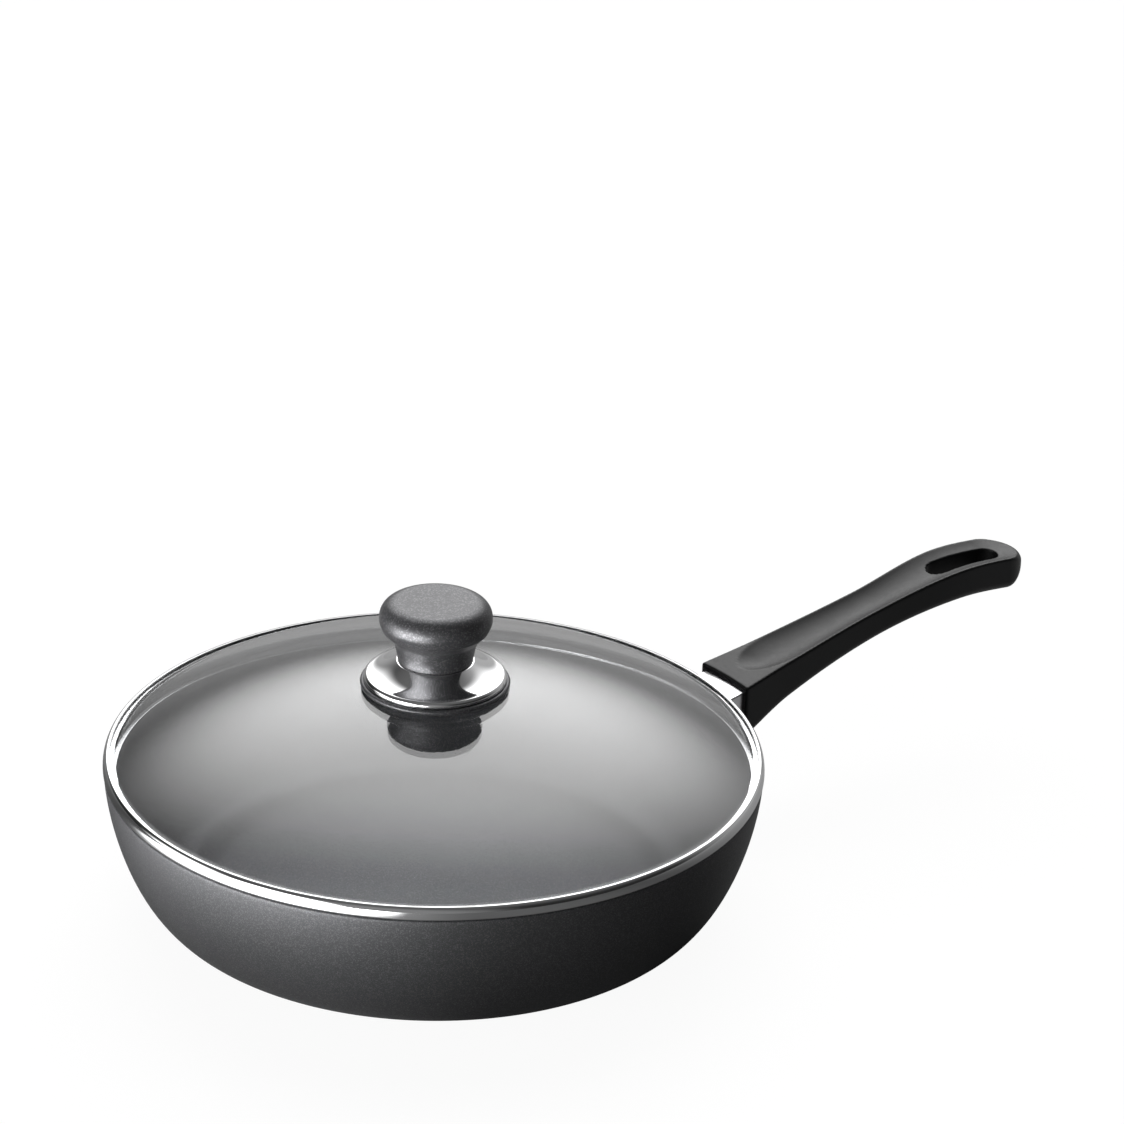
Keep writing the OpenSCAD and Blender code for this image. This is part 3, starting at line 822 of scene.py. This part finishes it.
# The knob is moulded from the same resin as the grip, with metal flake in it. Its neck is
# waisted for the fingers, and its top is a flat disc with a crisp edge.
knob_low, knob_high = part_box("knob")
knob_z = knob_low.z
knob_top = knob_high.z
head_r = knob_high.x
head_z = knob_z + 18 * MM
neck_bend = 0.35 * MM
neck_foot = (neck_r + 0.05 * MM, knob_z + 0.6 * MM)
neck_waist = (neck_r + 0.7 * MM, knob_z + 4.5 * MM)
neck_flare = (neck_r + 1.1 * MM, knob_z + 8.3 * MM)
under_r, under_z = 18.4 * MM, knob_z + 10.3 * MM
edge_r, edge_z = 21.5 * MM, knob_z + 13.6 * MM
edge_pull = (edge_r + 0.35 * MM, edge_z + 1.2 * MM)
top_r = 16.7 * MM
top_pull = (top_r + 3 * MM, knob_top - 0.5 * MM)
top_crisp = 0.1 * MM
head_below, head_above = 2 * MM, 4.6 * MM
insert_r = 4.55 * MM
insert_top = knob_z + 14.25 * MM
knob = turned("finger_knob", [(insert_r, knob_z)]
              + arc(neck_r - neck_bend, knob_z + neck_bend, neck_bend, -90, 0, 4)
              + curve(neck_foot, neck_waist, neck_flare, (under_r, under_z), 18)
              + [(under_r + (edge_r - under_r) * share, under_z + (edge_z - under_z) * share)
                 for share in (0.1, 0.5, 0.9)]
              + curve((edge_r, edge_z), edge_pull, (head_r, head_z - head_below),
                      (head_r, head_z), 20)
              + curve((head_r, head_z), (head_r, head_z + head_above), top_pull,
                      (top_r, knob_top), 20)[1:]
              + [(r, knob_top) for r in (top_r - top_crisp, top_r * 0.8, top_r * 0.4, 0)]
              + [(0, insert_top), (insert_r, insert_top)], crease=20)
knob.data.materials.append(knob_skin)
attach(knob, "lid")
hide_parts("knob")


# A brass insert is moulded into the knob. A stainless screw with a washer and a soft grommet
# holds it from inside the lid, and a soft seal lies between the knob's base and the glass.
brass, tree, shader = finish_of("turned brass", Metallic=1.0)
rings = placed(tree, turning, Pitch=0.4 * MM)
coloured(tree, shader, rings["Shade"], (0.6, 0.42, 0.16), (0.78, 0.58, 0.27))
roughened(tree, shader, rings["Shade"], 0.22, 0.36)
bumped(tree, shader, rings["Height"], 0.03 * MM)
dress("knob_insert", brass)

screw_steel, tree, shader = finish_of("turned stainless steel", Metallic=1.0)
rings = placed(tree, turning, Pitch=0.3 * MM)
coloured(tree, shader, rings["Shade"], (0.5, 0.5, 0.51), (0.66, 0.66, 0.67))
roughened(tree, shader, rings["Shade"], 0.2, 0.34)
bumped(tree, shader, rings["Height"], 0.02 * MM)
dress("washer", screw_steel)
dress("knob_screw", screw_steel)

rubber, tree, shader = finish_of("dark silicone", Specular_IOR_Level=0.4)
bloom = placed(tree, handling, Size=8 * MM)
coloured(tree, shader, bloom["Cloud"], (0.03, 0.03, 0.032), (0.055, 0.055, 0.057))
roughened(tree, shader, bloom["Rub"], 0.5, 0.65)
dress("upper_seal", rubber)
dress("lower_seal", rubber)


# The pan stands on a pale table in a white studio. A broad soft light glows behind it, and two
# more stand low at the left, where the table is bright too. The room is dark on the right. The
# camera sees table and room as plain white, and only reflections show the lights.
azimuth = math.radians(-37.5)
to_right = Vector((math.cos(azimuth), math.sin(azimuth), 0))
to_back = Vector((-math.sin(azimuth), math.cos(azimuth), 0))
up = Vector((0, 0, 1))


def toward(turn, rise):
    """Direction that is turned to the right of the camera's view and raised, in degrees."""
    turn, rise = math.radians(turn), math.radians(rise)
    flat = to_back * math.cos(turn) + to_right * math.sin(turn)
    return flat * math.cos(rise) + up * math.sin(rise)


def straight_rays(tree):
    """Mask of the rays that see the room itself, also through glass."""
    seen = node(tree, "ShaderNodeLightPath").outputs
    no_mirror = maths(tree, "LESS_THAN", seen["Glossy Depth"], 0.5)
    through = maths(tree, "MULTIPLY", seen["Is Transmission Ray"], no_mirror)
    return maths(tree, "MAXIMUM", seen["Is Camera Ray"], through)


def soft_light(tree, looking, centre, inner, outer, strength):
    """Strength of a round soft light: full within the inner angle, none past the outer one."""
    facing = node(tree, "ShaderNodeVectorMath", {"operation": "DOT_PRODUCT"})
    tree.links.new(looking, facing.inputs[0])
    facing.inputs[1].default_value = centre
    made = node(tree, "ShaderNodeMapRange", {"interpolation_type": "SMOOTHSTEP"},
                Value=facing.outputs["Value"], From_Min=math.cos(math.radians(outer)),
                From_Max=math.cos(math.radians(inner)), To_Min=0.0, To_Max=strength)
    return made.outputs["Result"]


floor_size = 12.0
floor_drop = 0.2 * MM
floor_white = 0.94
patch_from, patch_full = 0.2, 0.34
bm = bmesh.new()
bmesh.ops.create_grid(bm, x_segments=2, y_segments=2, size=floor_size)
floor = piece_from("floor", bm)
floor.location.z = -floor_drop
table, tree, shader = finish_of("pale table", Base_Color=(0.1, 0.1, 0.1, 1), Roughness=0.9,
                                Specular_IOR_Level=0.0)
straight = straight_rays(tree)
place = node(tree, "ShaderNodeNewGeometry").outputs["Position"]
normalized = node(tree, "ShaderNodeVectorMath", {"operation": "NORMALIZE"})
tree.links.new(place, normalized.inputs[0])
outward = normalized.outputs["Vector"]
away = node(tree, "ShaderNodeVectorMath", {"operation": "LENGTH"})
tree.links.new(place, away.inputs[0])
beyond = node(tree, "ShaderNodeMapRange", {"interpolation_type": "SMOOTHSTEP"},
              Value=away.outputs["Value"], From_Min=patch_from, From_Max=patch_full,
              To_Min=0.0, To_Max=1.0).outputs["Result"]
far_left = maths(tree, "MULTIPLY", beyond,
                 soft_light(tree, outward, toward(-130, 0), 20, 45, 12.5))
near_left = soft_light(tree, outward, toward(-135, 0), 10, 60, 0.25)
at_back = soft_light(tree, outward, toward(20, 0), 10, 100, 0.3)
at_front = soft_light(tree, outward, toward(180, 0), 10, 75, 0.06)
lit = total(tree, far_left, near_left, at_back, at_front)
mirrored = maths(tree, "MULTIPLY", maths(tree, "SUBTRACT", 1.0, straight), lit)
shown = maths(tree, "MULTIPLY", straight, floor_white)
white = node(tree, "ShaderNodeEmission", Strength=maths(tree, "ADD", shown, mirrored))
added = node(tree, "ShaderNodeAddShader")
tree.links.new(shader.outputs["BSDF"], added.inputs[0])
tree.links.new(white.outputs["Emission"], added.inputs[1])
tree.links.new(added.outputs["Shader"], tree.nodes["Material Output"].inputs["Surface"])
floor.data.materials.append(table)

room = bpy.data.worlds.new("room")
bpy.context.scene.world = room
room.use_nodes = True
tree = room.node_tree
tree.nodes.clear()
facing = node(tree, "ShaderNodeTexCoord").outputs["Generated"]
back_wall = soft_light(tree, facing, toward(20, 0), 5, 75, 0.55)
ceiling = soft_light(tree, facing, toward(0, 90), 10, 80, 0.15)
behind = soft_light(tree, facing, toward(0, 43), 5, 37, 4.3)
at_left = soft_light(tree, facing, toward(-95, 0), 4, 26, 3.0)
key = soft_light(tree, facing, toward(-130, 0), 4, 26, 8.0)
front = soft_light(tree, facing, toward(-165, 0), 10, 50, 0.3)
dim_room = 0.03
glow = total(tree, back_wall, ceiling, behind, at_left, key, front, dim_room)
straight = straight_rays(tree)
mirrored = maths(tree, "MULTIPLY", glow, maths(tree, "SUBTRACT", 1.0, straight))
around = node(tree, "ShaderNodeBackground", Strength=maths(tree, "MAXIMUM", straight, mirrored))
tree.links.new(around.outputs["Background"],
               node(tree, "ShaderNodeOutputWorld").inputs["Surface"])

camera = bpy.data.cameras.new("camera")
camera.sensor_width = 36
camera.lens = 177.4
elevation = math.radians(24.85)
roll = math.radians(1.32)
distance = 2.2
target = Vector((0.0395, -0.0303, 0.1505))
back = up * math.sin(elevation) - to_back * math.cos(elevation)
level_up = back.cross(to_right)
right = to_right * math.cos(roll) + level_up * math.sin(roll)
top = level_up * math.cos(roll) - to_right * math.sin(roll)
viewer = bpy.data.objects.new("camera", camera)
viewer.matrix_world = Matrix.Translation(target + back * distance) @ Matrix(
    (right, top, back)).transposed().to_4x4()
camera.clip_end = 50
bpy.context.scene.collection.objects.link(viewer)
bpy.context.scene.camera = viewer
bpy.context.scene.view_settings.view_transform = "Standard"
